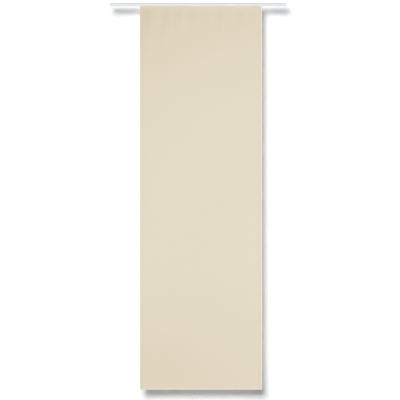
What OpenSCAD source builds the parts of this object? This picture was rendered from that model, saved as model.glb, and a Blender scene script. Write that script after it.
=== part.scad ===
// Sliding panel curtain: a flat cloth panel that rolls along a ceiling track.
// The cloth is held by hook-and-loop tape to a carrier bar.
// The bar hangs from wheeled runners inside the track.
// A flat bar in the cloth's bottom pocket keeps the panel straight.
// Millimetres. X runs along the track, -Y faces the room and +Z is up.
// The origin is the middle of the track's top face, which lies against the ceiling.

/* [Panel] */
// Width of the cloth panel
panel_w = 600; // [350:1:780]
// Height of the cloth panel, from its top edge to its bottom fold
panel_drop = 1884; // [500:1:3000]
// Thickness of one layer of cloth
cloth_t = 0.6; // [0.3:0.05:1]
// Width of the hem that is turned back along each side
side_hem_w = 18; // [8:1:40]
// Place of the panel's middle along the track, from the track's middle
panel_shift = 14; // [-40:1:40]

/* [Track] */
// Length of the track over its end caps
track_len = 864; // [760:1:3000]
// Thickness of the track's two side walls
track_wall_t = 1.4; // [1:0.1:2.5]
// Thickness of the track's roof
roof_t = 1.5; // [1:0.1:3]
// Thickness of the two flanges that the wheels run on
flange_t = 1.5; // [1:0.1:3]
// Radius of the track's outer edges
edge_r = 0.8; // [0.3:0.1:1]
// Height of the two ribs under the roof that keep the wheels down
rib_h = 2.85; // [1:0.05:6]
// Thickness of those ribs
rib_t = 1.2; // [0.8:0.1:2]
// Room between the ribs for the heads of the ceiling screws
head_room_w = 9.2; // [7:0.1:11]
// Width of the ridge along each side of the slot
ridge_w = 0.6; // [0.4:0.1:1]
// Height of that ridge above the flange
ridge_h = 0.8; // [0.3:0.1:1.2]
// Diameter of the ceiling screw holes
screw_hole_d = 4.5; // [3:0.1:6]
// Distance from each end of the track to its outer screw hole
screw_inset = 72; // [40:1:150]

/* [Track ends] */
// Thickness of the end caps
cap_t = 2; // [1:0.1:4]
// Radius of the edges round the end caps' outer faces
cap_edge_r = 0.8; // [0.3:0.1:0.9]
// Length of the prongs that push into the track
prong_len = 8; // [4:0.5:15]
// Length of the end stops
stop_len = 12; // [8:0.5:20]
// Diameter of the clamping screws in the end stops
stop_screw_d = 4; // [3:0.1:5]
// Distance across the hexagon socket in those screws
socket_w = 2; // [1:0.1:2.5]

/* [Runners] */
// Distance from each side of the panel to its outer runner
runner_inset = 30; // [20:1:80]
// Length of a runner's body
runner_len = 14; // [11:0.5:24]
// Thickness of the neck that passes through the slot
neck_w = 4; // [3:0.1:6]
// Length of that neck along the track
neck_len = 8; // [5:0.5:11]
// Thickness of the foot that carries the bar
foot_t = 2.2; // [1.5:0.1:4]
// How far the foot stands out past the neck on each side
foot_wing = 1.6; // [1:0.1:3]
// Diameter of the wheels
wheel_d = 8; // [6.5:0.1:12]
// Width of a wheel's rim
wheel_w = 2.6; // [1.6:0.1:5]
// Diameter of the axles
axle_d = 2; // [1.2:0.1:2.6]

/* [Carrier bar] */
// How far each end of the carrier bar stays inside the panel's side
carrier_setback = 2; // [0.5:0.5:10]
// Thickness of the bar's front plate
plate_t = 1.6; // [1:0.1:3]
// Thickness of the lips that rest on the runners' feet
groove_lip_t = 1.3; // [0.8:0.1:2.5]
// Thickness of the groove's floor and back wall
groove_wall_t = 1.3; // [0.8:0.1:2.5]
// Radius of the groove's two outer edges at the back
bar_edge_r = 0.6; // [0.2:0.1:0.8]
// Size of the stiffening bead along the plate's lower edge
bead_w = 1.5; // [0.5:0.1:3]
// Height of the lips above and below the tape
seat_lip_h = 0.8; // [0.4:0.1:2]
// How far those lips stand out of the plate
seat_lip_t = 0.6; // [0.2:0.1:1]
// Thickness of the bar's end caps
carrier_cap_t = 1.5; // [0.8:0.1:3]
// Length of the tongue that holds each cap in the groove
tongue_len = 5; // [2:0.5:10]

/* [Hook and loop tape] */
// Width of both tapes
tape_w = 20; // [14:1:40]
// Thickness of the hook tape on the bar
hook_t = 1.3; // [1:0.1:2.5]
// Thickness of the loop tape on the cloth
loop_t = 1.3; // [0.8:0.1:2.5]
// How far each end of the loop tape stays inside the panel's side
loop_setback = 4; // [1:0.5:15]

/* [Weight bar] */
// Height of the flat bar in the bottom pocket
weight_h = 22; // [12:1:40]
// Thickness of that bar
weight_t = 3; // [1.5:0.1:6]
// How far each end of the bar stays inside the panel's side
weight_setback = 8; // [2:1:40]
// Height over which the pocket's back slopes to the front layer
pocket_slope_h = 8; // [4:0.5:20]
// Height of the seam allowance above the pocket
seam_tab_h = 4; // [2:0.5:10]

/* [Hidden] */
$fn = 48;

// Running clearances
wheel_seat_gap = 0.15;
wheel_top_gap = 0.5;
wheel_side_gap = 0.3;
body_side_gap = 0.3;
body_ridge_gap = 0.35;
axle_bore_gap = 0.05;
axle_stub = 0.4;
axle_end_gap = 1.2;
slot_gap = 1.5;
track_carrier_gap = 1;
track_cloth_gap = 0.8;

// Fits between still pieces
prong_gap = 0.15;
stop_side_gap = 0.3;
stop_rib_gap = 0.2;
stop_cap_gap = 0.5;
foot_side_gap = 0.3;
foot_drop_gap = 0.6;
groove_neck_gap = 0.4;
tape_gap = 0.5;
header_margin = 3;
pocket_gap = 0.1;
pocket_slack = 1;

// Small features
overrun = 1;
axle_chamfer = 0.3;
rim_chamfer = 0.35;
hub_wall_t = 0.9;
web_recess = 0.5;
rim_wall_t = 0.8;
prong_taper = 0.6;
neck_edge_r = 1;
foot_lead = 1.2;
socket_depth = 2.5;
stop_screw_rise = 0.6;

// Track section, built outwards from the runner that it has to take
slot_w = neck_w + 2 * slot_gap;
wheel_in_y = slot_w / 2 + ridge_w + wheel_side_gap;
wheel_out_y = wheel_in_y + wheel_w;
axle_half = wheel_out_y + axle_stub;
inner_half = axle_half + axle_end_gap;
track_d = 2 * (inner_half + track_wall_t);
track_h = roof_t + rib_h + wheel_top_gap + wheel_d + wheel_seat_gap + flange_t;
flange_z = flange_t - track_h;
ridge_z = flange_z + ridge_h;
rib_z = -roof_t - rib_h;
axle_z = flange_z + wheel_seat_gap + wheel_d / 2;
extrusion_len = track_len - 2 * cap_t;
screw_count = 4;
screw_pitch = (track_len - 2 * screw_inset) / (screw_count - 1);
screw_places = [for (i = [0 : screw_count - 1]) screw_inset - track_len / 2 + i * screw_pitch];

// Track ends
prong_in_y = slot_w / 2 + ridge_w + prong_gap;
prong_out_y = inner_half - prong_gap;
prong_top_z = rib_z - prong_gap;
stop_end_x = track_len / 2 - cap_t - prong_len - stop_cap_gap;
stop_mid_x = stop_end_x - stop_len / 2;
stop_half = inner_half - stop_side_gap;
stop_top_z = rib_z - stop_rib_gap;
stop_foot_y = slot_w / 2 + ridge_w + stop_side_gap;
stop_low_z = ridge_z + stop_side_gap;

// Runners
runner_count = 4;
runner_span = panel_w - 2 * runner_inset;
runner_pitch = runner_span / (runner_count - 1);
function runner_x(i) = panel_shift - runner_span / 2 + i * runner_pitch;
body_half = wheel_in_y - body_side_gap;
body_r = axle_z - ridge_z - body_ridge_gap;
body_flat = runner_len / 2 - body_r;
axle_bore_d = axle_d + 2 * axle_bore_gap;
carrier_top = -track_h - track_carrier_gap;
foot_top = carrier_top - groove_lip_t;
foot_w = neck_w + 2 * foot_wing;

// Carrier bar section
groove_half = foot_w / 2 + foot_side_gap;
groove_h = foot_t + foot_drop_gap;
groove_floor_z = foot_top - groove_h;
groove_base_z = groove_floor_z - groove_wall_t;
groove_slot_w = neck_w + 2 * groove_neck_gap;
carrier_front_y = -groove_half - plate_t;
carrier_back_y = groove_half + groove_wall_t;
bead_back_y = bead_w - groove_half;
tape_top_z = carrier_top - seat_lip_h - tape_gap;
tape_low_z = tape_top_z - tape_w;
carrier_low_z = tape_low_z - tape_gap - seat_lip_h;
carrier_len = panel_w - 2 * carrier_setback - 2 * carrier_cap_t;

// Layers of tape and cloth, from the carrier bar to the room
hook_front_y = carrier_front_y - hook_t;
loop_front_y = hook_front_y - loop_t;
hem_front_y = loop_front_y - cloth_t;
cloth_front_y = hem_front_y - cloth_t;
cloth_top = -track_h - track_cloth_gap;
cloth_low = cloth_top - panel_drop;
header_h = cloth_top - tape_low_z + header_margin;
loop_len = panel_w - 2 * loop_setback;

// Bottom pocket and its bar
weight_front_y = loop_front_y + pocket_gap;
pocket_inner_y = weight_front_y + weight_t + pocket_gap;
pocket_back_y = pocket_inner_y + cloth_t;
fold_r = (pocket_back_y - cloth_front_y) / 2;
fold_y = cloth_front_y + fold_r;
fold_z = cloth_low + fold_r;
weight_r = weight_t / 2;
weight_y = weight_front_y + weight_r;
weight_top = fold_z - weight_r + weight_h;
slope_low_z = weight_top + pocket_slack;
slope_top_z = slope_low_z + pocket_slope_h;
pocket_top_z = slope_top_z + seam_tab_h;
weight_len = panel_w - 2 * weight_setback;

// Colours
lacquer = "gainsboro";
moulded = "whitesmoke";
linen = [0.89, 0.86, 0.78];
tape_white = "ivory";
bright_steel = "silver";
mill_aluminium = "lightgray";

// Carries a section drawn in Y and Z along X, centred on x
module along_x(length, x = 0) {
    translate([x - length / 2, 0, 0])
        rotate([90, 0, 90])
            linear_extrude(length)
                children();
}

// Carries an outline drawn in X and Z along Y, centred on the track's middle plane
module along_y(width) {
    rotate([90, 0, 0])
        linear_extrude(width, center = true)
            children();
}

// A rectangle between two corners
module span(y0, y1, z0, z1) {
    translate([min(y0, y1), min(z0, z1)])
        square([abs(y1 - y0), abs(z1 - z0)]);
}

// A rectangle whose two corners at y1 are rounded
module soft_end(y0, y1, z0, z1, r) {
    span(y0, y1 - r, z0, z1);
    span(y0, y1, z0 + r, z1 - r);
    for (z = [z0 + r, z1 - r])
        translate([y1 - r, z])
            circle(r);
}

// The same section on both sides of the slot
module both_sides() {
    children();
    mirror([1, 0]) children();
}

// The track's outline, with rounded edges
module track_outline() {
    half = track_d / 2;
    span(edge_r - half, half - edge_r, -track_h, 0);
    span(-half, half, edge_r - track_h, -edge_r);
    both_sides() {
        for (z = [-edge_r, edge_r - track_h])
            translate([half - edge_r, z])
                circle(edge_r);
    }
}

// The extruded section: a box with a slot below, ridges beside the slot and ribs under the roof
module track_section() {
    difference() {
        track_outline();
        span(-inner_half, inner_half, flange_z, -roof_t);
        span(-slot_w / 2, slot_w / 2, -track_h - overrun, flange_z + overrun);
    }
    both_sides() {
        span(head_room_w / 2, head_room_w / 2 + rib_t, rib_z, -roof_t);
        span(slot_w / 2, slot_w / 2 + ridge_w, flange_z, ridge_z);
    }
}

module track() {
    color(lacquer)
        difference() {
            along_x(extrusion_len) track_section();
            for (x = screw_places)
                translate([x, 0, -roof_t - overrun])
                    cylinder(d = screw_hole_d, h = roof_t + 2 * overrun);
        }
}

// One prong of an end cap in plan, rooted in the cap's plate and tapered towards its tip
module prong_plan() {
    root = cap_t / 2;
    polygon([
        [root, prong_in_y],
        [root, prong_out_y],
        [0, prong_out_y],
        [-prong_len, prong_out_y - prong_taper],
        [-prong_len, prong_in_y + prong_taper],
        [0, prong_in_y]
    ]);
}

// The cap's plate: the track's outline, with soft edges round the outer face
module cap_plate() {
    in_x = extrusion_len / 2;
    out_x = track_len / 2;
    half = track_d / 2;
    intersection() {
        along_x(cap_t, (in_x + out_x) / 2) track_outline();
        along_y(track_d) soft_end(in_x, out_x, -track_h, 0, cap_edge_r);
        translate([0, 0, -track_h])
            linear_extrude(track_h)
                soft_end(in_x, out_x, -half, half, cap_edge_r);
    }
}

// side is 1 for the right end and -1 for the left
module end_cap(side) {
    color(moulded)
        mirror([side < 0 ? 1 : 0, 0, 0]) {
            cap_plate();
            translate([extrusion_len / 2, 0, flange_z])
                linear_extrude(prong_top_z - flange_z)
                    for (y = [0, 1])
                        mirror([0, y]) prong_plan();
        }
}

// The stop's section: a block with two feet that stand on the flanges, clear of the ridges
module stop_section() {
    difference() {
        span(-stop_half, stop_half, flange_z, stop_top_z);
        span(-stop_foot_y, stop_foot_y, flange_z - overrun, stop_low_z);
    }
}

// The stop stands in the channel and its screw pushes up against the roof
module end_stop(side) {
    color(moulded)
        translate([side * stop_mid_x, 0, 0])
            difference() {
                along_x(stop_len) stop_section();
                translate([0, 0, stop_low_z - overrun])
                    cylinder(d = stop_screw_d, h = stop_top_z - stop_low_z + 2 * overrun);
            }
}

module stop_screws() {
    low_z = stop_low_z - stop_screw_rise;
    color(bright_steel)
        for (side = [-1, 1])
            translate([side * stop_mid_x, 0, low_z])
                difference() {
                    cylinder(d = stop_screw_d, h = -roof_t - low_z);
                    translate([0, 0, -overrun])
                        cylinder(d = 2 * socket_w / sqrt(3), h = socket_depth + overrun, $fn = 6);
                }
}

// The outside of the bar's groove, with soft edges at the back
module groove_outline() {
    soft_end(carrier_front_y, carrier_back_y, groove_base_z, carrier_top, bar_edge_r);
}

// The bar's section: a groove for the runners' feet, a plate below it and a seat for the tape in front
module carrier_section() {
    bead_r = bead_w / 2;
    difference() {
        groove_outline();
        span(-groove_half, groove_half, groove_floor_z, foot_top);
        span(-groove_slot_w / 2, groove_slot_w / 2, foot_top - overrun, carrier_top + overrun);
    }
    span(carrier_front_y, -groove_half, carrier_low_z, groove_floor_z);
    span(carrier_front_y, bead_back_y - bead_r, carrier_low_z, carrier_low_z + bead_w);
    translate([bead_back_y - bead_r, carrier_low_z + bead_r]) circle(bead_r);
    for (z = [carrier_top - seat_lip_h, carrier_low_z])
        span(carrier_front_y - seat_lip_t, carrier_front_y, z, z + seat_lip_h);
}

module carrier_bar() {
    color(lacquer)
        along_x(carrier_len, panel_shift) carrier_section();
}

// A cap with the bar's outline and a tongue that fills the end of the groove
module carrier_cap(side) {
    tongue_half = foot_w / 2;
    color(moulded)
        translate([panel_shift, 0, 0])
            mirror([side < 0 ? 1 : 0, 0, 0]) {
                along_x(carrier_cap_t, (carrier_len + carrier_cap_t) / 2) {
                    groove_outline();
                    span(carrier_front_y, bead_back_y, carrier_low_z, groove_base_z);
                }
                along_x(tongue_len, (carrier_len - tongue_len) / 2)
                    span(-tongue_half, tongue_half, foot_top - foot_t, foot_top);
            }
}

// The neck in plan, with soft corners
module neck_plan() {
    half_len = neck_len / 2;
    half_w = neck_w / 2;
    soft_end(0, half_len, -half_w, half_w, neck_edge_r);
    mirror([1, 0]) soft_end(0, half_len, -half_w, half_w, neck_edge_r);
}

// The foot in plan, narrower at both ends so that it slips into the groove
module foot_plan() {
    x = runner_len / 2;
    y = foot_w / 2;
    polygon([
        [-x, foot_lead - y], [foot_lead - x, -y], [x - foot_lead, -y], [x, foot_lead - y],
        [x, y - foot_lead], [x - foot_lead, y], [foot_lead - x, y], [-x, y - foot_lead]
    ]);
}

// A runner: a round-ended block between the wheels, a neck through the slot and a foot in the groove
module runner(i) {
    foot_low = foot_top - foot_t;
    color(moulded)
        translate([runner_x(i), 0, 0])
            difference() {
                union() {
                    along_y(2 * body_half) {
                        span(-body_flat, body_flat, axle_z - body_r, axle_z + body_r);
                        for (side = [-1, 1])
                            translate([side * body_flat, axle_z])
                                circle(body_r);
                    }
                    translate([0, 0, foot_low]) {
                        linear_extrude(axle_z - foot_low) neck_plan();
                        linear_extrude(foot_t) foot_plan();
                    }
                }
                translate([0, 0, axle_z])
                    rotate([90, 0, 0])
                        cylinder(d = axle_bore_d, h = 2 * (body_half + overrun), center = true);
            }
}

// An axle with a chamfer at both ends
module axle(i) {
    straight = 2 * (axle_half - axle_chamfer);
    color(bright_steel)
        translate([runner_x(i), 0, axle_z])
            rotate([90, 0, 0]) {
                cylinder(d = axle_d, h = straight, center = true);
                for (end = [0, 1])
                    mirror([0, 0, end])
                        translate([0, 0, straight / 2])
                            cylinder(d1 = axle_d, d2 = axle_d - 2 * axle_chamfer, h = axle_chamfer);
            }
}

// Half the section of a wheel: hub, thin web and rim, from its bore outwards
module wheel_section() {
    bore = axle_d / 2;
    hub = bore + hub_wall_t;
    rim = wheel_d / 2;
    rim_in = rim - rim_wall_t;
    polygon([
        [bore, 0], [hub, 0], [hub, web_recess], [rim_in, web_recess], [rim_in, 0],
        [rim - rim_chamfer, 0], [rim, rim_chamfer],
        [rim, wheel_w - rim_chamfer], [rim - rim_chamfer, wheel_w],
        [rim_in, wheel_w], [rim_in, wheel_w - web_recess], [hub, wheel_w - web_recess], [hub, wheel_w],
        [bore, wheel_w]
    ]);
}

// side is -1 for the wheel towards the room and 1 for the one towards the wall
module wheel(i, side) {
    color(moulded)
        translate([runner_x(i), side * wheel_in_y, axle_z])
            rotate([-90 * side, 0, 0])
                rotate_extrude()
                    wheel_section();
}

module hook_tape() {
    color(tape_white)
        along_x(carrier_len, panel_shift)
            span(hook_front_y, carrier_front_y, tape_low_z, tape_top_z);
}

module loop_tape() {
    color(tape_white)
        along_x(loop_len, panel_shift)
            span(loop_front_y, hook_front_y, tape_low_z, tape_top_z);
}

// One layer of cloth from its top fold to the foot, where it is folded back up to make the pocket
module cloth_section() {
    span(cloth_front_y, hem_front_y, fold_z, cloth_top - cloth_t);
    difference() {
        translate([fold_y, fold_z]) circle(fold_r);
        translate([fold_y, fold_z]) circle(fold_r - cloth_t);
        span(cloth_front_y - overrun, pocket_back_y + overrun, fold_z, fold_z + fold_r + overrun);
    }
    span(pocket_inner_y, pocket_back_y, fold_z, slope_low_z);
    polygon([
        [pocket_inner_y, slope_low_z], [pocket_back_y, slope_low_z],
        [loop_front_y, slope_top_z], [hem_front_y, slope_top_z]
    ]);
    span(hem_front_y, loop_front_y, slope_top_z, pocket_top_z);
}

// The header: the round fold at the top and the layer that is turned down behind it
module header_section() {
    translate([hem_front_y, cloth_top - cloth_t]) circle(cloth_t);
    span(hem_front_y, loop_front_y, cloth_top - header_h, cloth_top - cloth_t);
}

// The cloth with its header and side hems turned to the back
module cloth_panel() {
    hem_x = (panel_w - side_hem_w) / 2;
    color(linen)
        translate([panel_shift, 0, 0]) {
            along_x(panel_w) {
                cloth_section();
                header_section();
            }
            for (side = [-1, 1])
                along_x(side_hem_w, side * hem_x)
                    span(hem_front_y, loop_front_y, fold_z, cloth_top - header_h);
        }
}

// A flat bar with round edges that lies in the pocket's fold
module weight_bar() {
    color(mill_aluminium)
        along_x(weight_len, panel_shift) {
            span(weight_front_y, weight_front_y + weight_t, fold_z, weight_top - weight_r);
            for (z = [fold_z, weight_top - weight_r])
                translate([weight_y, z])
                    circle(weight_r);
        }
}

track();
end_cap(-1);  // end_cap_left
end_cap(1);  // end_cap_right
end_stop(-1);  // end_stop_left
end_stop(1);  // end_stop_right
stop_screws();
carrier_bar();
carrier_cap(-1);  // carrier_cap_left
carrier_cap(1);  // carrier_cap_right
runner(0);  // runner_1
runner(1);  // runner_2
runner(2);  // runner_3
runner(3);  // runner_4
axle(0);  // axle_1
axle(1);  // axle_2
axle(2);  // axle_3
axle(3);  // axle_4
wheel(0, -1);  // wheel_front_1
wheel(1, -1);  // wheel_front_2
wheel(2, -1);  // wheel_front_3
wheel(3, -1);  // wheel_front_4
wheel(0, 1);  // wheel_back_1
wheel(1, 1);  // wheel_back_2
wheel(2, 1);  // wheel_back_3
wheel(3, 1);  // wheel_back_4
hook_tape();
loop_tape();
cloth_panel();
weight_bar();
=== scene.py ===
# %% [markdown]
# # A sliding panel curtain
# One flat panel of cream cloth hangs from a carrier bar, and the bar rolls inside a slim white track
# that is screwed to the ceiling. A flat metal bar in the bottom hem keeps the cloth straight.
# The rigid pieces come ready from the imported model. This lesson gives them their finishes, and makes
# the soft pieces: the cloth with its hems and folds, the seams, and the two halves of the tape.

# %% Load the fixed frame
import math

import bpy
import numpy as np
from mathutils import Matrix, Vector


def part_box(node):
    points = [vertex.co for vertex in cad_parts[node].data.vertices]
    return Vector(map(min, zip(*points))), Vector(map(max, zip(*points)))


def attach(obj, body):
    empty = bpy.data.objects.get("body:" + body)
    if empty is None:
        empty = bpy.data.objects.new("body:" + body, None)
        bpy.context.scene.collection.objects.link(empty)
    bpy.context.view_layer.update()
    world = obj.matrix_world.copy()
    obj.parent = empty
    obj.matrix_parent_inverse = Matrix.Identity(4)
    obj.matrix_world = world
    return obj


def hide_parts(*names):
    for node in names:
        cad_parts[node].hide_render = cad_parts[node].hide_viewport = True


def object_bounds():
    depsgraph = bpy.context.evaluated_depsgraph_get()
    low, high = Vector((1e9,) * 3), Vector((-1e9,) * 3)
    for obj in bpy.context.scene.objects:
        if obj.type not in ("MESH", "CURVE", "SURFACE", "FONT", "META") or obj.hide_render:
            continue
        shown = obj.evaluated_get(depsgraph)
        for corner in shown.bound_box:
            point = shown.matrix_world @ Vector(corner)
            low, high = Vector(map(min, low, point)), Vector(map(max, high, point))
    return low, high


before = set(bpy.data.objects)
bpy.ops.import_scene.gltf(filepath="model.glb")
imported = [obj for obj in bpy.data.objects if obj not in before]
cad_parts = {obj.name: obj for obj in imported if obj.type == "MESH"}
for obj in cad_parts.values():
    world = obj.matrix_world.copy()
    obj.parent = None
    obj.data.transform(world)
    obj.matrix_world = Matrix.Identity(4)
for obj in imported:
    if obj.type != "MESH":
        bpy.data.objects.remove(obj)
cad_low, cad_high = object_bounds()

# %% [markdown]
# ## Sizes come from the frame
# Every size that the solids already hold is read from their boxes, so the cloth fits the bar and the
# pocket without any trying. Two layers of cloth lie between the panel's front and the loop tape, which
# gives the thickness of one layer. A size that no box shows is written where it is first used, in metres.

# %% Read the sizes
def box_of(node):
    """The lowest and the highest corner of a solid, as two arrays in metres."""
    low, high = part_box(node)
    return np.array(low), np.array(high)


cloth_low, cloth_high = box_of("cloth_panel")
loop_low, loop_high = box_of("loop_tape")
hook_low, hook_high = box_of("hook_tape")
weight_top = box_of("weight_bar")[1][2]

PANEL_W = cloth_high[0] - cloth_low[0]
LAYER = (loop_low[1] - cloth_low[1]) / 2
print(f"cloth {PANEL_W:.3f} x {cloth_high[2] - cloth_low[2]:.3f} m, one layer {LAYER * 1000:.2f} mm")

# %% [markdown]
# ## The camera
# The photograph looks straight at the panel from far away, so nothing converges. A long lens on a
# distant camera gives the same flat view. The width of the cloth in pixels sets the scale of the frame,
# and the middle and top of the rail set where the frame's centre lies.

# %% Aim the camera
PHOTO_PX = 400.0
CLOTH_LEFT_PX = 140.0
CLOTH_RIGHT_PX = 262.2
RAIL_MID_PX = 198.2
RAIL_TOP_PX = 3.05
LENS_MM = 600.0
SENSOR_MM = 36.0

pixel = PANEL_W / (CLOTH_RIGHT_PX - CLOTH_LEFT_PX)
frame_w = PHOTO_PX * pixel
aim_x = (PHOTO_PX / 2 - RAIL_MID_PX) * pixel
aim_z = cad_high[2] - (PHOTO_PX / 2 - RAIL_TOP_PX) * pixel
distance = frame_w * LENS_MM / SENSOR_MM

camera_data = bpy.data.cameras.new("camera")
camera_data.lens = LENS_MM
camera_data.sensor_width = SENSOR_MM
camera_data.clip_end = 10 * distance
camera = bpy.data.objects.new("camera", camera_data)
bpy.context.scene.collection.objects.link(camera)
camera.location = (aim_x, cloth_low[1] - distance, aim_z)
camera.rotation_euler = (math.pi / 2, 0, 0)
bpy.context.scene.camera = camera
print(f"camera {distance:.1f} m away, frame {frame_w:.3f} m wide")

# %% [markdown]
# ## How the cloth hangs
# The tape holds the top edge straight and the bar holds the bottom straight, so the cloth is flat apart
# from small things: soft dents where the sewn header pulls, a slow wave down the middle, and side edges
# that curl a little. A cloth simulation could find these, but it would need a very fine mesh to keep a
# panel this flat. A formula gives the same calm surface, and the seams can ask it for their places.

# %% The panel's slack
DENT_SHARES = np.array([0.068, 0.213, 0.312, 0.356, 0.43, 0.541, 0.664, 0.82, 0.945])
DENT_DEPTHS = np.array([1.9, 1.2, 1.0, -0.4, 0.7, 0.6, 0.9, 1.1, 0.2]) * 1e-3
DENT_WIDTHS = np.array([15, 15, 13, 6, 16, 15, 14, 18, 12]) * 1e-3
DENT_REACH = 0.055
WAVE, CROSS_WAVE = 0.0012, 0.00072
CURL, CURL_REACH = 0.0014, 0.03
WAVE_TURNS, CROSS_TURNS, CURL_TURNS = (1.1, 0.6), (0.7, -1.3), (0.5, 1.5)


def dent_bells(x):
    """One bell curve across the panel for each dent: exp(-(distance / width)^2 / 2)."""
    away = (x[..., None] - cloth_low[0] - DENT_SHARES * PANEL_W) / DENT_WIDTHS
    return np.exp(-0.5 * away**2)


def slack(x, z):
    """How far the cloth leaves its flat plane towards the wall, in metres.
    Each dent is its bell across, times h/r * exp(1 - h/r) down, with h the drop below the tape and r its
    reach. Two slow sine waves and the curl of the side edges fade as a sine to nothing at tape and bar."""
    drop = np.clip(loop_low[2] - z, 0, None)
    down = np.clip(drop / (loop_low[2] - weight_top), 0, 1)
    share = (x - cloth_low[0]) / PANEL_W
    from_side = np.minimum(share, 1 - share) * PANEL_W

    def sine(turns):
        return np.sin(2 * np.pi * (turns[0] * share + turns[1] * down))

    dents = (dent_bells(x) * DENT_DEPTHS).sum(-1) * drop / DENT_REACH * np.exp(1 - drop / DENT_REACH)
    waves = WAVE * sine(WAVE_TURNS) + CROSS_WAVE * sine(CROSS_TURNS)
    curl = CURL * np.exp(-from_side / CURL_REACH) * sine(CURL_TURNS)
    return dents + np.sin(np.pi * down) * (waves + curl)


dent_slack = slack(cloth_low[0] + DENT_SHARES * PANEL_W, loop_low[2] - DENT_REACH)
print(f"deepest dent {1000 * dent_slack.max():.2f} mm")

# %% [markdown]
# ## The cloth's line from edge to edge
# Seen from the side, the cloth is one line. It starts at the raw edge of the header behind the panel, goes
# up and over the top fold, down the whole front, round the bottom fold, and up the back of the pocket,
# where it slopes in to the seam. It could be a curve object with a bevel, but arrays put a row just where
# a fold, a hem or a dent needs one. This line is the path, and the panel's section is carried along it.

# %% Depths and heights of the folds
HEADER_MARGIN = 0.003
POCKET_SLACK = 0.001
POCKET_SLOPE = 0.008
SEAM_TAB = 0.004
HEM_STEP = LAYER / 2

front_y = cloth_low[1] + LAYER / 2
turned_y = front_y + LAYER
pocket_y = cloth_high[1] - LAYER / 2
fold_r = (cloth_high[1] - cloth_low[1]) / 2
fold_y, fold_z = cloth_low[1] + fold_r, cloth_low[2] + fold_r
top_z = cloth_high[2] - LAYER
header_z = loop_low[2] - HEADER_MARGIN
slope_z = weight_top + POCKET_SLACK
seam_z = slope_z + POCKET_SLOPE
tab_z = seam_z + SEAM_TAB
hem_top, hem_foot = header_z - HEM_STEP, tab_z + HEM_STEP
print(f"header {1000 * (top_z - header_z):.1f} mm high, pocket {1000 * (tab_z - fold_z):.1f} mm")

# %% Pieces of a line
def stretch(start, end, step):
    """Evenly spaced values from start up to, but not including, end, about one step apart."""
    count = max(1, round(abs(end - start) / step))
    return np.linspace(start, end, count, endpoint=False)


def ease(t):
    """A smooth step: 0 below 0, 1 above 1, and 3t^2 - 2t^3 between."""
    t = np.clip(t, 0, 1)
    return t * t * (3 - 2 * t)


def straight(y, z_values):
    """A straight stretch at one depth, as y and z."""
    return np.full(len(z_values), y), z_values


def half_turn(centre_y, centre_z, radius, start, count):
    """Half a circle, as y and z, with its angles from start up to, but not including, start + pi."""
    angle = np.linspace(start, start + np.pi, count, endpoint=False)
    return centre_y + radius * np.cos(angle), centre_z + radius * np.sin(angle)


print(f"half a smooth step is {ease(0.5)}, and a stretch from 0 to 1 by 0.3 is {stretch(0, 1, 0.3)}")

# %% Draw the path
FINE_ROW, LONG_ROW, FOOT_ROW = 0.006, 0.016, 0.005
DENTED = 0.3
dents_end = top_z - DENTED

front_rows = [
    stretch(top_z, hem_top, FINE_ROW),
    stretch(hem_top, hem_top - HEM_STEP, HEM_STEP),
    stretch(hem_top - HEM_STEP, dents_end, FINE_ROW),
    stretch(dents_end, hem_foot + HEM_STEP, LONG_ROW),
    stretch(hem_foot + HEM_STEP, hem_foot, HEM_STEP),
    stretch(hem_foot, fold_z, FOOT_ROW),
]
slope_share = np.linspace(0, 1, 9)
stretches = [
    straight(turned_y, stretch(header_z, top_z, FINE_ROW)),
    half_turn(turned_y - LAYER / 2, top_z, LAYER / 2, start=0, count=6),
    straight(front_y, np.concatenate(front_rows)),
    half_turn(fold_y, fold_z, fold_r - LAYER / 2, start=np.pi, count=12),
    straight(pocket_y, stretch(fold_z, slope_z, FINE_ROW)),
    (pocket_y + (turned_y - pocket_y) * ease(slope_share), slope_z + POCKET_SLOPE * slope_share),
    straight(turned_y, np.array([(seam_z + tab_z) / 2, tab_z])),
]
path_y = np.concatenate([y for y, z in stretches])
path_z = np.concatenate([z for y, z in stretches])
lengths = [len(y) for y, z in stretches]
is_front = np.repeat([0, 0, 1, 0, 0, 0, 0], lengths)
is_pressed = np.repeat([1, 1, 0, 0, 0, 0, 1], lengths)
path_s = np.concatenate([[0], np.cumsum(np.hypot(np.diff(path_y), np.diff(path_z)))])
print(f"path of {len(path_s)} rows, {path_s[-1]:.3f} m of cloth from edge to edge")

# %% [markdown]
# ## The cloth's section
# Across the panel the section is a thin plate, two layers thick along each side where the hem is turned
# back, with a round fold at the very edge. The hem's second layer ends with a small step below the header
# and above the pocket's seam, where the next fold covers it. A layer that lies on another is a little
# thinner, so that the two never share a face. A plane with Solidify would be quicker, but it would have
# neither the doubled hems nor the folds.

# %% Work out the section
SIDE_HEM = 0.018
RAW_EDGE = 0.0003
FOLD_BAND = 0.003
COLUMN_STEP = 0.004
MIDDLE_COLUMNS = 104
PRESSED_THINNER = 0.12


def section_places():
    """Distances across the panel: close together round the folded edges and at the hem's raw edge."""
    fold = LAYER * (1 - np.cos(np.linspace(0, np.pi / 2, 6)))
    hem = stretch(FOLD_BAND, SIDE_HEM - RAW_EDGE, COLUMN_STEP)
    side = np.concatenate([fold, hem, [SIDE_HEM - RAW_EDGE, SIDE_HEM + RAW_EDGE]])
    inside = SIDE_HEM + COLUMN_STEP
    middle = np.linspace(inside, PANEL_W - inside, MIDDLE_COLUMNS)
    return np.concatenate([side, middle, PANEL_W - side[::-1]])


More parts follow.
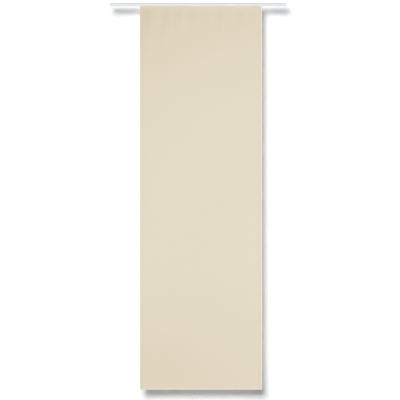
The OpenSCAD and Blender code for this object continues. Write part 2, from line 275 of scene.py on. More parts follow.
across = section_places()
to_edge = np.minimum(across, PANEL_W - across)
hem_across = np.clip((SIDE_HEM - to_edge) / (2 * RAW_EDGE) + 0.5, 0, 1)
hem_down = is_front * np.clip(np.minimum(hem_top - path_z, path_z - hem_foot) / HEM_STEP, 0, 1)
round_edge = np.sqrt(np.clip(1 - (1 - np.clip(to_edge / LAYER, 0, 1)) ** 2, 0, 1))
second_layer = hem_across[None, :] * hem_down[:, None]
thick = LAYER * (1 + second_layer - PRESSED_THINNER * is_pressed[:, None])
print(f"section of {len(across)} places, {1000 * thick.min():.2f} to {1000 * thick.max():.2f} mm thick")

# %% [markdown]
# ## Putting arrays into meshes
# A surface is worked out as one array of points in rows and columns. Its faces are found from the row and
# column numbers alone, again as whole arrays. The vertex places are final, so the object stays at the
# origin, and a UV map in metres lets a weave follow the cloth round its folds.

# %% Mesh helpers
def grid_faces(rows, columns, wrap=False):
    """The four corner numbers of each cell of a grid. With wrap, the last column joins the first."""
    number = np.arange(rows * columns).reshape(rows, columns)
    if wrap:
        number = np.concatenate([number, number[:, :1]], axis=1)
    cells = [number[:-1, :-1], number[:-1, 1:], number[1:, 1:], number[1:, :-1]]
    return np.stack(cells, axis=-1).reshape(-1, 4)


def put_mesh(name, points, faces, uv=None, sharp_deg=40.0):
    """Makes an object from points (n, 3) and lists of faces, with smooth shading between sharp edges."""
    mesh = bpy.data.meshes.new(name)
    mesh.from_pydata(points.tolist(), [], faces)
    if uv is not None:
        corner = np.zeros(len(mesh.loops), dtype=np.int64)
        mesh.loops.foreach_get("vertex_index", corner)
        layer = mesh.uv_layers.new(name="UVMap")
        layer.data.foreach_set("uv", uv[corner].ravel())
    mesh.validate()
    mesh.shade_smooth()
    mesh.set_sharp_from_angle(angle=math.radians(sharp_deg))
    piece = bpy.data.objects.new(name, mesh)
    bpy.context.scene.collection.objects.link(piece)
    print(f"{name}: {len(mesh.vertices)} points, {len(mesh.polygons)} faces")
    return piece


print("corners of the first cell, in a grid of 2 rows and 3 columns:", grid_faces(2, 3)[0])

# %% [markdown]
# ## The cloth itself
# Front and back are the path, moved half a thickness either way along its normal. They are two rows of
# points at the same places across, joined at both sides into one ring. The rings make a closed skin with a
# true thickness, and the raw edges at both ends of the path are closed by a strip of faces.

# %% Make the cloth
normal_y, normal_z = np.gradient(path_z, path_s), -np.gradient(path_y, path_s)
normal_size = np.hypot(normal_y, normal_z)
normal_y, normal_z = normal_y / normal_size, normal_z / normal_size
cloth_x = np.broadcast_to(cloth_low[0] + across, thick.shape)
cloth_slack = slack(cloth_x, np.broadcast_to(path_z[:, None], thick.shape))


def cloth_face(side):
    """The sheet's outer face (side 1) or inner face (side -1). The outer face keeps half a layer from the
    path, and every further layer lies on the inner side."""
    offset = (LAYER - thick) / 2 + side * thick / 2 * round_edge[None, :]
    y = path_y[:, None] + normal_y[:, None] * offset + cloth_slack
    z = path_z[:, None] + normal_z[:, None] * offset
    return np.stack([cloth_x, y, z], axis=-1)


rows, columns = thick.shape
ring = np.concatenate([cloth_face(1), cloth_face(-1)[:, -2:0:-1]], axis=1)
around = ring.shape[1]
skin = grid_faces(rows, around, wrap=True)[:, ::-1]
outer = np.arange(columns)
inner = np.concatenate([[0], np.arange(around - 1, columns - 1, -1), [columns - 1]])
rim = np.stack([outer[:-1], outer[1:], inner[1:], inner[:-1]], axis=-1)
rims = np.concatenate([rim, rim[:, ::-1] + (rows - 1) * around]).tolist()
raw_edges = [list(dict.fromkeys(face)) for face in rims]
ring_x = np.concatenate([across, across[-2:0:-1]])
cloth_uv = np.stack(np.broadcast_arrays(ring_x[None, :], path_s[:, None]), axis=-1).reshape(-1, 2)
cloth = put_mesh("cloth", ring.reshape(-1, 3), skin.tolist() + raw_edges, cloth_uv)

# %% [markdown]
# ## A tone for each point of the cloth
# The cream is darker towards the header, the foot and the left side, and deeper along the doubled side hems.
# The dents get painted shade and one ridge a painted highlight, and the pressed folds round the outline get
# a painted highlight. A noise in the finish could not know these places. A number on each point carries
# the slow change, so the finish only has to blend between a pale and a deep cream.

# %% Tone of the cloth
EVEN_TONE, LEFT_TONE, HEM_TONE = 0.05, 0.08, 0.14
HEADER_TONE, HEADER_REACH = 0.4, 0.55
CORNER_TONE, CORNER_REACH = 0.28, 0.9
FOOT_TONE, FOOT_LEFT_TONE, FOOT_REACH = 0.27, 0.18, 0.65
HEM_FADE = 0.001
# Painted shade in the dents below the header; the negative tone is a painted highlight on one ridge.
CREASE_SHADE_BAND, CREASE_SHADE_REACH = 0.06, 0.05
CREASE_SHADES_AND_RIDGE_HIGHLIGHT = np.array([0.4, 0.22, 0.14, -0.12, 0.16, 0.11, 0.19, 0.18, 0.05])
# Painted highlight along the folded edges at the left, right, top and bottom, on the front only.
FOLD_HIGHLIGHTS = np.array([0.0, 1.5, 0.5, 2.2])
FOLD_HIGHLIGHT_BAND, FOLD_HIGHLIGHT_FADE = 0.0035, 0.002


def near(distance_to, reach):
    """1 at the place itself, and 0 beyond the reach, with a smooth step between."""
    return 1 - ease(distance_to / reach)


def cloth_tone_and_painted_light(x, z, depth):
    """0 for pale and 1 for deep cream. The header, its left corner and the foot each fade over their reach.
    Hems add a little, and the dents add painted shade, with a painted highlight on one ridge. The folds at
    the left, right, top and bottom get a painted highlight of their own amount, but only on the front, so
    this fades with the depth behind the front face."""
    left = 1 - (x - cloth_low[0]) / PANEL_W
    below, above = cloth_high[2] - z, z - cloth_low[2]
    slow = EVEN_TONE + LEFT_TONE * left + HEADER_TONE * near(below, HEADER_REACH)
    corner = CORNER_TONE * left**2 * near(below, CORNER_REACH)
    foot = (FOOT_TONE + FOOT_LEFT_TONE * left) * near(above, FOOT_REACH)
    hem = HEM_TONE * np.clip((SIDE_HEM - np.minimum(left, 1 - left) * PANEL_W) / HEM_FADE + 0.5, 0, 1)
    # Painted shade in the dents, and a painted highlight on one ridge.
    fall = below / CREASE_SHADE_REACH
    crease_shade = (CREASE_SHADE_BAND + (dent_bells(x) * CREASE_SHADES_AND_RIDGE_HIGHLIGHT).sum(-1)) * (fall * np.exp(1 - fall)) ** 2
    from_edges = np.stack([x - cloth_low[0], cloth_high[0] - x, below, above], axis=-1)
    # The folds get a painted highlight, each edge its own amount.
    folds = (FOLD_HIGHLIGHTS * near(from_edges - FOLD_HIGHLIGHT_BAND, FOLD_HIGHLIGHT_FADE)).max(-1)
    return slow + corner + foot + hem + crease_shade - folds * near(depth, 2 * LAYER)


ring_depth = ring[..., 1] - cloth_low[1] - slack(ring[..., 0], ring[..., 2])
tone = cloth_tone_and_painted_light(ring[..., 0], ring[..., 2], ring_depth).ravel()
cloth.data.attributes.new("tone", "FLOAT", "POINT").data.foreach_set("value", tone.astype(np.float32))
print(f"tone from {tone.min():.2f} to {tone.max():.2f}")

# %% [markdown]
# ## Seams
# The hems are sewn, and a row of stitches stands a little proud of the cloth. A bump in the finish could
# draw them, but then no mesh would hold them. Each stitch is a small closed grain of thread, thicker in
# the middle and round at both ends. One grain is worked out, and then every grain of a seam comes from
# one array sum: centre + along + across + outward.

# %% One stitch, and a row of them
STITCH_LEN = 0.003
THREAD_R = 0.0002
GRAIN_SIDES = 5
GRAIN_RINGS = (-0.75, 0.0, 0.75)


def grain():
    """A unit grain along x: rings of radius sqrt(1 - x^2) at a few places, between two poles."""
    x = np.repeat(GRAIN_RINGS, GRAIN_SIDES)
    turn = np.arange(GRAIN_SIDES)
    angle = np.tile(2 * np.pi * turn / GRAIN_SIDES, len(GRAIN_RINGS))
    radius = np.sqrt(1 - x**2)
    rings = np.stack([x, radius * np.cos(angle), radius * np.sin(angle)], axis=-1)
    points = np.concatenate([rings, [[-1, 0, 0], [1, 0, 0]]])
    after = (turn + 1) % GRAIN_SIDES
    last_ring = len(rings) - GRAIN_SIDES
    first_pole = np.full(GRAIN_SIDES, len(rings))
    start_cap = np.stack([first_pole, after, turn], axis=-1)
    end_cap = np.stack([first_pole + 1, last_ring + turn, last_ring + after], axis=-1)
    return points, grid_faces(len(GRAIN_RINGS), GRAIN_SIDES, wrap=True), np.concatenate([start_cap, end_cap])


def sew(name, centres, along, outward):
    """A seam: one grain at each centre, along the seam and half sunk in the cloth."""
    points, quads, triangles = grain()
    axes = np.stack([along * STITCH_LEN / 2, np.cross(outward, along) * THREAD_R, outward * THREAD_R])
    places = centres[:, None, :] + points @ axes
    shift = (np.arange(len(centres)) * len(points))[:, None, None]
    faces = (quads + shift).reshape(-1, 4).tolist() + (triangles + shift).reshape(-1, 3).tolist()
    return put_mesh(name, places.reshape(-1, 3), faces, sharp_deg=180.0)


print("points of one stitch:", len(grain()[0]))

# %% Sew the hems, the pocket and the tape
STITCH_PITCH = 0.0039
SEAM_INSET = 0.003
RIGHT, TO_WALL, UP = np.eye(3)
FACES = (("front", -1), ("back", 1))


def seam_line(x, z, side):
    """Centres of a seam on the cloth's front (side -1) or its back, two layers deeper (side 1)."""
    x, z = np.broadcast_arrays(x, z)
    depth = 0 if side < 0 else 2 * LAYER
    return np.stack([x, cloth_low[1] + depth + slack(x, z), z], axis=-1)


down_seam = np.arange(header_z - 2 * SEAM_INSET, tab_z + SEAM_INSET, -STITCH_PITCH)
cross_seam = np.arange(cloth_low[0] + 2 * SEAM_INSET, cloth_high[0] - 2 * SEAM_INSET, STITCH_PITCH)
hem_inset = SIDE_HEM - SEAM_INSET
seams = []
for label, x in (("left", cloth_low[0] + hem_inset), ("right", cloth_high[0] - hem_inset)):
    for face, side in FACES:
        seams.append(sew(f"{label}_hem_seam_{face}", seam_line(x, down_seam, side), UP, side * TO_WALL))
for face, side in FACES:
    pocket_line = seam_line(cross_seam, tab_z - SEAM_TAB / 2, side)
    seams.append(sew(f"pocket_seam_{face}", pocket_line, RIGHT, side * TO_WALL))
for label, z in (("upper", loop_high[2] - SEAM_INSET / 2), ("lower", loop_low[2] + SEAM_INSET / 2)):
    seams.append(sew(f"{label}_tape_seam", seam_line(cross_seam, z, -1), RIGHT, -TO_WALL))

# %% [markdown]
# ## The two tapes
# The loop tape is sewn behind the header, and the hook tape is stuck to the carrier bar. Both are woven
# ribbons with firm, rounded edges. A box with a bevel would do, but a superellipse gives the section in one
# formula: it is nearly a rectangle, without a hard corner. It is carried straight along the panel.

# %% Make the tapes
RIBBON_STEP = 0.02
RIBBON_SIDES = 48
THICKNESS_POWER, WIDTH_POWER = 0.35, 0.1


def signed_power(values, power):
    """The size of each value raised to a power, with the value's own sign."""
    return np.sign(values) * np.abs(values) ** power


def ribbon(name, low, high):
    """A closed strip: y and z are signed powers of cosine and sine, small powers giving flat sides."""
    angle = 2 * np.pi * np.arange(RIBBON_SIDES) / RIBBON_SIDES
    half, centre = (high - low) / 2, (high + low) / 2
    y = centre[1] + half[1] * signed_power(np.cos(angle), THICKNESS_POWER)
    z = centre[2] + half[2] * signed_power(np.sin(angle), WIDTH_POWER)
    x = np.linspace(low[0], high[0], round((high[0] - low[0]) / RIBBON_STEP))
    shape = np.stack(np.broadcast_arrays(x[:, None], y[None, :], z[None, :]), axis=-1)
    girth = np.concatenate([[0], np.cumsum(np.hypot(np.diff(y), np.diff(z)))])
    uv = np.stack(np.broadcast_arrays(x[:, None], girth[None, :]), axis=-1)
    end = np.arange(RIBBON_SIDES)
    ends = [end[::-1].tolist(), (end + (len(x) - 1) * RIBBON_SIDES).tolist()]
    sides = grid_faces(len(x), RIBBON_SIDES, wrap=True).tolist()
    return put_mesh(name, shape.reshape(-1, 3), sides + ends, uv.reshape(-1, 2))


loop_piece = ribbon("loop_ribbon", loop_low, loop_high)
hook_piece = ribbon("hook_ribbon", hook_low, hook_high)

# %% [markdown]
# ## Building finishes from nodes
# A finish is a Principled shader with a few texture nodes in front of it. Values that are the same all
# over are set on the shader itself. One short helper adds a node and either links or sets each input,
# so each finish below reads as a recipe.

# %% Nodes in one line
def add(tree, kind, inputs=(), **fields):
    """Adds a node. An input that is given a socket is linked, and any other value is set."""
    made = tree.nodes.new(kind)
    for field, value in fields.items():
        setattr(made, field, value)
    for key, value in dict(inputs).items():
        if isinstance(value, bpy.types.NodeSocket):
            tree.links.new(value, made.inputs[key])
        else:
            made.inputs[key].default_value = value
    return made


def maths(tree, operation, *terms):
    """One step of arithmetic on sockets and numbers."""
    return add(tree, "ShaderNodeMath", enumerate(terms), operation=operation).outputs[0]


def noise(tree, vector, scale, detail=2.0, roughness=0.5):
    """A noise between 0 and 1."""
    inputs = {"Vector": vector, "Scale": scale, "Detail": detail, "Roughness": roughness}
    return add(tree, "ShaderNodeTexNoise", inputs).outputs["Fac"]


def scaled(tree, vector, scale):
    """A vector times a scale for each axis, which stretches the pattern that reads it."""
    return add(tree, "ShaderNodeVectorMath", {0: vector, 1: scale}, operation="MULTIPLY").outputs[0]


def between(tree, factor, low, high):
    """A blend of two colours: low at factor 0, high at 1, and further on past either."""
    colours = {0: factor, 6: (*low, 1.0), 7: (*high, 1.0)}
    return add(tree, "ShaderNodeMix", colours, data_type="RGBA", clamp_factor=False).outputs[2]


def bumped(tree, height, strength, depth):
    """A normal from a height, whose full range is depth metres."""
    inputs = {"Height": height, "Strength": strength, "Distance": depth}
    return add(tree, "ShaderNodeBump", inputs).outputs[0]


print("plain finishes that the solids came with:", len(bpy.data.materials))

# %% A finish, and who wears it
def new_finish(name, **constants):
    """A material with a Principled shader, whose constants are set on its own sockets."""
    material = bpy.data.materials.new(name)
    material.use_nodes = True
    shader = material.node_tree.nodes["Principled BSDF"]
    for key, value in constants.items():
        shader.inputs[key.replace("_", " ")].default_value = value
    return material, material.node_tree, shader


def feed(tree, shader, **sockets):
    """Links worked-out values to the shader."""
    for key, socket in sockets.items():
        tree.links.new(socket, shader.inputs[key.replace("_", " ")])


def dress(finish, *pieces):
    """Gives the finish to pieces of this lesson, or to solids by name."""
    for piece in pieces:
        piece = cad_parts[piece] if isinstance(piece, str) else piece
        piece.data.materials.clear()
        piece.data.materials.append(finish)
    print(f"{finish.name}: {len(pieces)} pieces")


print("solids to dress:", len(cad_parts))

# %% [markdown]
# ## Cream cloth
# The cloth is a plain weave of fine, slightly uneven yarn. Over and under alternate like a chessboard:
# on one cell the upright thread is on top, on the next the cross thread. Each thread's height is a sine
# across it. Thick and thin places along single threads make the faint slubs of such cloth. Modelled
# threads would be millions of faces, so the weave is a bump that follows the cloth's own UV map.

# %% The weave
THREAD_PITCH = 0.0006
UPRIGHT_SLUBS = (900.0, 18.0, 1.0)
CROSS_SLUBS = (14.0, 1100.0, 1.0)


def thread_height(tree, place):
    """sin(pi t), with t the part of a pitch: 0 at a thread's edges and 1 along its crown."""
    return maths(tree, "SINE", maths(tree, "MULTIPLY", maths(tree, "FRACT", place), math.pi))


def weave(tree):
    """The height of the thread on top, chosen by a chessboard, and the slubs: the sum of two noises that
    are drawn out along the upright and the cross threads, with scales per metre."""
    uv = add(tree, "ShaderNodeUVMap", uv_map="UVMap").outputs[0]
    threads = scaled(tree, uv, (1 / THREAD_PITCH, 1 / THREAD_PITCH, 1.0))
    places = add(tree, "ShaderNodeSeparateXYZ", {0: threads}).outputs
    upright, cross = thread_height(tree, places["X"]), thread_height(tree, places["Y"])
    board = add(tree, "ShaderNodeTexChecker", {"Vector": threads, "Scale": 1.0}).outputs["Fac"]
    on_top = add(tree, "ShaderNodeMix", {0: board, 2: upright, 3: cross}).outputs[0]
    upright_slub = noise(tree, scaled(tree, uv, UPRIGHT_SLUBS), 1.0)
    cross_slub = noise(tree, scaled(tree, uv, CROSS_SLUBS), 1.0)
    return on_top, maths(tree, "ADD", upright_slub, cross_slub)


print(f"{0.01 / THREAD_PITCH:.0f} threads in a centimetre")

# %% Cloth finish
PALE_CREAM = (0.785, 0.722, 0.582)
DEEP_CREAM = (0.708, 0.615, 0.465)
MEAN_HEIGHT, VALLEY_SHADE = 0.64, 0.22
MEAN_SLUB, YARN_TONE = 1.0, 0.28
SLUB_HEIGHT = 0.6
WEAVE_BUMP, WEAVE_DEPTH = 0.35, 0.00012


def cloth_finish():
    """The point's tone, with its painted shade and highlights, blends two creams. Valleys between threads
    get painted shade, and thin yarn is a little deeper.
    """
    material, tree, shader = new_finish(
        "cream_cloth", Roughness=0.92, Specular_IOR_Level=0.18, Sheen_Weight=0.08, Sheen_Roughness=0.6
    )
    on_top, slub = weave(tree)
    yarn = maths(tree, "MULTIPLY", maths(tree, "SUBTRACT", MEAN_SLUB, slub), YARN_TONE)
    # Painted shade in the valleys between threads, where the weave is low.
    valley_shade = maths(tree, "MULTIPLY", maths(tree, "SUBTRACT", MEAN_HEIGHT, on_top), VALLEY_SHADE)
    tone_and_painted_light = add(tree, "ShaderNodeAttribute", attribute_name="tone").outputs["Fac"]
    depth = maths(tree, "ADD", tone_and_painted_light, maths(tree, "ADD", yarn, valley_shade))
    height = maths(tree, "ADD", on_top, maths(tree, "MULTIPLY", slub, SLUB_HEIGHT))
    colour = between(tree, depth, PALE_CREAM, DEEP_CREAM)
    feed(tree, shader, Base_Color=colour, Normal=bumped(tree, height, WEAVE_BUMP, WEAVE_DEPTH))
    return material


cream_cloth = cloth_finish()
dress(cream_cloth, cloth)

# %% [markdown]
# ## Thread
# Sewing thread is twisted, so it shines a little along its turns. A stitch is only a few pixels long even
# up close, so a fine noise gives the twist, with painted shade darkening its grooves.

# %% Thread finish
TWISTS_PER_METRE = 4200.0
# Painted shade: the colour of the thread down in the twist's grooves.
THREAD_GROOVE_SHADE = (0.66, 0.58, 0.44)
THREAD_CROWN = (0.8, 0.73, 0.59)
TWIST_BUMP, TWIST_DEPTH = 0.4, 0.00008


def own_place(tree):
    """The place on a piece in metres, which moves with the piece."""
    return add(tree, "ShaderNodeTexCoord").outputs["Object"]


def thread_finish():
    """Cream thread: one fine noise changes the height, and the colour with it, as painted shade in the
    grooves.
    """
    material, tree, shader = new_finish("cream_thread", Roughness=0.6, Sheen_Weight=0.15)
    twist = noise(tree, own_place(tree), TWISTS_PER_METRE)
    colour = between(tree, twist, THREAD_GROOVE_SHADE, THREAD_CROWN)
    feed(tree, shader, Base_Color=colour, Normal=bumped(tree, twist, TWIST_BUMP, TWIST_DEPTH))
    return material


dress(thread_finish(), *seams)

# %% [markdown]
# ## Hook and loop
# The hook tape is a stiff nylon ribbon full of tiny hooks, and the loop tape has a soft pile. Hooks and
# loops are far too fine to model one by one, so small cells and a fuzz in the bump stand for them.

# %% Tape finishes
FUZZ_PER_PITCH = 2.5
HOOK_ORDER, HOOK_FUZZ = 0.35, 0.5
TAPE_BUMP, TAPE_DEPTH = 0.7, 0.0004


def tape_finish(name, low, high, pitch, soft):
    """Cells at a pitch, in rows for hooks and more at random where soft, plus a fuzz of finer noise."""
    material, tree, shader = new_finish(name, Roughness=0.85, Specular_IOR_Level=0.25, Sheen_Weight=soft)
    uv = add(tree, "ShaderNodeUVMap", uv_map="UVMap").outputs[0]
    cell_inputs = {"Vector": uv, "Scale": 1 / pitch, "Randomness": HOOK_ORDER + soft}
    cells = add(tree, "ShaderNodeTexVoronoi", cell_inputs).outputs["Distance"]
    fuzz = noise(tree, uv, FUZZ_PER_PITCH / pitch, detail=4.0, roughness=0.7)
    height = maths(tree, "ADD", maths(tree, "MULTIPLY", fuzz, HOOK_FUZZ + soft), cells)
    colour = between(tree, height, low, high)
    feed(tree, shader, Base_Color=colour, Normal=bumped(tree, height, TAPE_BUMP, TAPE_DEPTH))
    return material


hook_nylon = tape_finish(
    "hook_nylon", low=(0.6, 0.59, 0.56), high=(0.82, 0.81, 0.78), pitch=0.0015, soft=0.0
)
loop_nylon = tape_finish(
    "loop_nylon", low=(0.58, 0.55, 0.49), high=(0.82, 0.79, 0.72), pitch=0.0008, soft=0.4
)
dress(hook_nylon, hook_piece)
dress(loop_nylon, loop_piece)

# %% [markdown]
# ## White lacquer
# Track and carrier bar are aluminium extrusions with a baked white lacquer. Up close the lacquer has a
# faint orange peel, and the die leaves long straight lines under it, so one noise is even and the other
# is drawn out along the track. The gloss varies a little with both. Along the track's top edge, where it
# meets the ceiling, the white is painted grey as painted shade.

# %% Lacquer finish
PEEL_PER_METRE = 700.0
DIE_LINES_PER_METRE = (2.0, 900.0, 900.0)
CLOUDS_PER_METRE = 9.0
LINE_SHARE, PEEL_SHARE, CLOUD_SHARE = 0.4, 0.7, 0.35
# Painted shade: grey at the track's top edge, fading to white over this depth; the grey is also the mottle's
# low end.
TOP_SHADE_FADE = 0.008
TOP_SHADE_AND_MOTTLE_GREY = (0.38, 0.38, 0.385)
LACQUER_WHITE = (0.84, 0.84, 0.84)
PEEL_BUMP, PEEL_DEPTH = 0.12, 0.0001


def ranged(tree, value, low, high, full=1.0):
    """Low where the value is 0, high where it is full, and evenly between."""
    ends = {"Value": value, "From Max": full, "To Min": low, "To Max": high}
    return add(tree, "ShaderNodeMapRange", ends).outputs[0]


def shared(tree, first, share, second):
    """The first value times its share, plus the second times the rest."""
    rest = maths(tree, "MULTIPLY", second, 1 - share)
    return maths(tree, "ADD", maths(tree, "MULTIPLY", first, share), rest)


def lacquer_finish():
    """White lacquer: orange peel from an even noise, die lines from a noise stretched along x, and painted
    shade that is grey at the top edge and fades to white downwards over the fade."""
    material, tree, shader = new_finish("white_lacquer", Specular_IOR_Level=0.45)
    place = own_place(tree)
    peel = noise(tree, place, PEEL_PER_METRE, detail=1.0)
    lines = noise(tree, scaled(tree, place, DIE_LINES_PER_METRE), 1.0, detail=3.0)
    mottle = shared(tree, lines, LINE_SHARE, noise(tree, place, CLOUDS_PER_METRE, detail=3.0))
    height = shared(tree, peel, PEEL_SHARE, lines)
    below_top = maths(tree, "MULTIPLY", add(tree, "ShaderNodeSeparateXYZ", {0: place}).outputs["Z"], -1.0)
    # The mottle is the lacquer's own; the grey at the top edge is painted shade.
    mottle_and_top_shade = shared(tree, mottle, CLOUD_SHARE, ranged(tree, below_top, 0.0, 1.0, full=TOP_SHADE_FADE))
    feed(
        tree,
        shader,
        Base_Color=between(tree, mottle_and_top_shade, TOP_SHADE_AND_MOTTLE_GREY, LACQUER_WHITE),
        Roughness=ranged(tree, mottle, 0.34, 0.5),
        Normal=bumped(tree, height, PEEL_BUMP, PEEL_DEPTH),
    )
    return material


dress(lacquer_finish(), "track", "carrier_bar")

# %% [markdown]
# ## Moulded plastic
# Caps, stops, runners and wheels are moulded. The mould for caps and stops is spark eroded, which leaves
# an even, fine grain. Runners and wheels come from polished moulds in a slippery natural white plastic,
# so they are smoother and slightly warm.

# %% Plastic finishes
RUNNERS = (1, 2, 3, 4)
MOULD_CLOUDS_PER_METRE = 60.0
GRAIN_SHARE, GRAIN_BUMP = 0.5, 0.3
GLOSS_SPREAD = 0.07


def plastic_finish(name, low, high, grain_size, rough, depth):
    """Grain from noise of one size, and a slow cloud that changes tone and gloss."""
    material, tree, shader = new_finish(name, Specular_IOR_Level=0.4)
    place = own_place(tree)
    fine = noise(tree, place, 1 / grain_size, detail=3.0)
    mottle = shared(tree, fine, GRAIN_SHARE, noise(tree, place, MOULD_CLOUDS_PER_METRE))
    feed(
        tree,
        shader,
        Base_Color=between(tree, mottle, low, high),
        Roughness=ranged(tree, mottle, rough - GLOSS_SPREAD, rough + GLOSS_SPREAD),
        Normal=bumped(tree, fine, GRAIN_BUMP, depth),
    )
    return material


cap_plastic = plastic_finish(
    "grained_white_plastic",
    low=(0.68, 0.68, 0.685),
    high=(0.75, 0.75, 0.75),
    grain_size=0.00035,
    rough=0.52,
    depth=0.00006,
)
slide_plastic = plastic_finish(
    "slippery_plastic",
    low=(0.7, 0.69, 0.66),
    high=(0.78, 0.77, 0.74),
    grain_size=0.0006,
    rough=0.36,
    depth=0.00002,
)
wheel_plastic = plastic_finish(
    "wheel_plastic",
    low=(0.68, 0.675, 0.655),
    high=(0.76, 0.755, 0.735),
    grain_size=0.0004,
    rough=0.3,
    depth=0.00002,
)
for end in ("left", "right"):
    dress(cap_plastic, f"end_cap_{end}", f"end_stop_{end}", f"carrier_cap_{end}")
dress(slide_plastic, *(f"runner_{i}" for i in RUNNERS))
dress(wheel_plastic, *(f"wheel_{side}_{i}" for side in ("front", "back") for i in RUNNERS))

# %% [markdown]
# ## Bare metal
# The axles and the grub screws are bright steel, drawn or turned, and the weight bar is aluminium straight
# from the press. Metal shows its making in fine lines: a noise drawn out along the bar, or pressed flat
# along the small turned parts, changes both the gloss and the height.

# %% Metal finishes
METAL_GLOSS_SPREAD = 0.1
METAL_BUMP, METAL_DEPTH = 0.2, 0.00005


def metal_finish(name, low, high, lines_per_metre, rough):
    """Bare metal whose lines come from a noise with a scale for each axis."""
    material, tree, shader = new_finish(name, Metallic=1.0)
    lines = noise(tree, scaled(tree, own_place(tree), lines_per_metre), 1.0, detail=3.0)
    feed(
        tree,
        shader,
        Base_Color=between(tree, lines, low, high),
        Roughness=ranged(tree, lines, rough - METAL_GLOSS_SPREAD, rough + METAL_GLOSS_SPREAD),
        Normal=bumped(tree, lines, METAL_BUMP, METAL_DEPTH),
    )
    return material


bright_steel = metal_finish(
    "bright_steel",
    low=(0.55, 0.56, 0.58),
    high=(0.68, 0.69, 0.7),
    lines_per_metre=(1500.0, 4000.0, 1500.0),
    rough=0.28,
)
press_aluminium = metal_finish(
    "press_aluminium",
    low=(0.68, 0.69, 0.7),
    high=(0.8, 0.8, 0.81),
    lines_per_metre=(3.0, 1600.0, 1600.0),
    rough=0.36,
)
dress(bright_steel, "stop_screws", *(f"axle_{i}" for i in RUNNERS))
dress(press_aluminium, "weight_bar")

# %% [markdown]
# ## What each new piece stands for
# The cloth, seams and tapes move with the panel. The cloth and the tapes take the place of their plain
# solids.

# %% Tie the pieces to the frame
for piece in (cloth, loop_piece, hook_piece, *seams):
    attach(piece, "panel")
for piece, node, slot in (
    (cloth, "cloth_panel", "cloth"),
    (loop_piece, "loop_tape", "loop_tape"),
    (hook_piece, "hook_tape", "hook_tape"),
):
    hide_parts(node)

# %% [markdown]
# ## The stage
# The photograph has a white ground with one soft shadow, a little to the right and below. A white wall
# behind the panel catches that shadow, and a pale floor lies just under the view. The wall leans a little,
# because the shadow falls further at the foot than at the rail. It has a faint cool glow of its own, which
# keeps the shadow a neutral grey beside the warm cloth. Wall and floor show only their front, so the panel
# can be seen from behind, and neither one shades the lamps.

# %% A finish for the stage
def looked_at(tree):
    """1 for rays that show a surface: from the camera, in a reflection or through glass. 0 for the rest."""
    rays = add(tree, "ShaderNodeLightPath").outputs
    mirrored = maths(tree, "MAXIMUM", rays["Is Glossy Ray"], rays["Is Transmission Ray"])
    return maths(tree, "MAXIMUM", rays["Is Camera Ray"], mirrored)


def stage_finish(name, grey, glow, tint):
    """A one-sided matt surface: pale in front, with a glow that only shows and lights nothing, and clear
    from behind."""
    material = bpy.data.materials.new(name)
    material.use_nodes = True
    tree = material.node_tree
    tree.nodes.clear()
    matt = add(tree, "ShaderNodeBsdfDiffuse", {"Color": (grey, grey, grey, 1.0)})
    shown_glow = maths(tree, "MULTIPLY", looked_at(tree), glow)
    own = add(tree, "ShaderNodeEmission", {"Color": (*tint, 1.0), "Strength": shown_glow})
    front = add(tree, "ShaderNodeAddShader", {0: matt.outputs[0], 1: own.outputs[0]})
    clear = add(tree, "ShaderNodeBsdfTransparent")
    behind = add(tree, "ShaderNodeNewGeometry").outputs["Backfacing"]
    shown = add(tree, "ShaderNodeMixShader", {0: behind, 1: front.outputs[0], 2: clear.outputs[0]})
    add(tree, "ShaderNodeOutputMaterial", {"Surface": shown.outputs[0]})
    print(f"{name}: grey {grey}, glow {glow}")
    return material


white_wall = stage_finish("white_wall", grey=0.88, glow=0.162, tint=(0.755, 0.855, 1.0))
pale_floor = stage_finish("pale_floor", grey=0.7, glow=0.6, tint=(1.0, 1.0, 1.0))

# %% Wall and floor
WALL_GAP = 0.105
WALL_LEAN = 0.009
WALL_HALF = 1.6
WALL_RISE = 1.0
FLOOR_DROP = 0.085
FLOOR_HALF = 3.0
FLOOR_NEAR, FLOOR_FAR = 6.0, 3.0


def stage_plane(name, half_width, near_edge, far_edge, finish):
    """A flat stage piece between two edges along x, each given as y and z. It neither shades the lamps nor
    throws light back."""
    sides = (-half_width, half_width, half_width, -half_width)
    edges = (near_edge, near_edge, far_edge, far_edge)
    corners = np.array([(x, *edge) for x, edge in zip(sides, edges)])
    plane = put_mesh(name, corners, [[0, 1, 2, 3]])
    plane.data.materials.append(finish)
    plane.visible_shadow = False
    plane.visible_diffuse = False


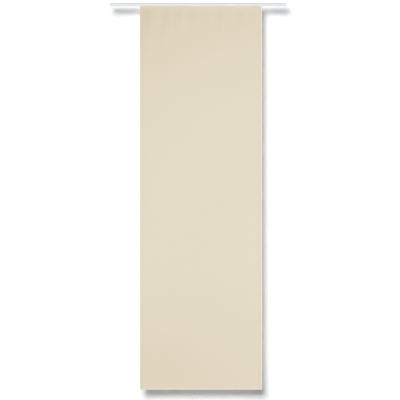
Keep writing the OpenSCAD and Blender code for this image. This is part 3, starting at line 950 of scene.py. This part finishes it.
wall_y = cloth_low[1] + WALL_GAP
floor_z = cad_low[2] - FLOOR_DROP
wall_top = cad_high[2] + WALL_RISE
middle_z = (cad_low[2] + cad_high[2]) / 2
foot_y, head_y = (wall_y + WALL_LEAN * (middle_z - z) for z in (floor_z, wall_top))
stage_plane("wall", WALL_HALF, (foot_y, floor_z), (head_y, wall_top), white_wall)
stage_plane("floor", FLOOR_HALF, (wall_y - FLOOR_NEAR, floor_z), (wall_y + FLOOR_FAR, floor_z), pale_floor)

# %% [markdown]
# ## Soft light
# The key lamp stands upper left in front. How far the shadow falls right and down on the wall gives its
# direction, and how blurred the shadow is gives its size. A second lamp lights the back, and a pale world
# fills the shadow. Key and world add up to a plain level, where a colour renders as it was written.

# %% Lamps and world
SHADOW_RIGHT = 0.019
SHADOW_DOWN = 0.0375
KEY_LEVEL, KEY_SPREAD = 0.89, 0.41
BACK_LEVEL, BACK_SPREAD = 0.65, 0.5
BACK_TRAVEL = (-0.35, -1.0, -0.5)
WORLD_LEVEL = 0.11


def lamp(name, travel, level, spread):
    """A far lamp: travel is where its light goes, level what it adds to a white face turned to the room."""
    data = bpy.data.lights.new(name, "SUN")
    way = np.array(travel) / np.linalg.norm(travel)
    data.energy = math.pi * level / abs(way[1])
    data.angle = spread
    made = bpy.data.objects.new(name, data)
    bpy.context.scene.collection.objects.link(made)
    made.rotation_euler = (math.acos(-way[2]), 0, math.atan2(-way[0], way[1]))
    print(f"{name}: energy {data.energy:.2f}")


lamp("key_lamp", (SHADOW_RIGHT, WALL_GAP, -SHADOW_DOWN), KEY_LEVEL, KEY_SPREAD)
lamp("back_lamp", BACK_TRAVEL, BACK_LEVEL, BACK_SPREAD)

world = bpy.data.worlds.new("studio")
world.use_nodes = True
bpy.context.scene.world = world
world_tree = world.node_tree
world_tree.nodes.clear()
world_glow = ranged(world_tree, looked_at(world_tree), WORLD_LEVEL, 1.0)
sky = add(world_tree, "ShaderNodeBackground", {"Color": (1.0, 1.0, 1.0, 1.0), "Strength": world_glow})
add(world_tree, "ShaderNodeOutputWorld", {"Surface": sky.outputs[0]})
bpy.context.scene.view_settings.view_transform = "Standard"
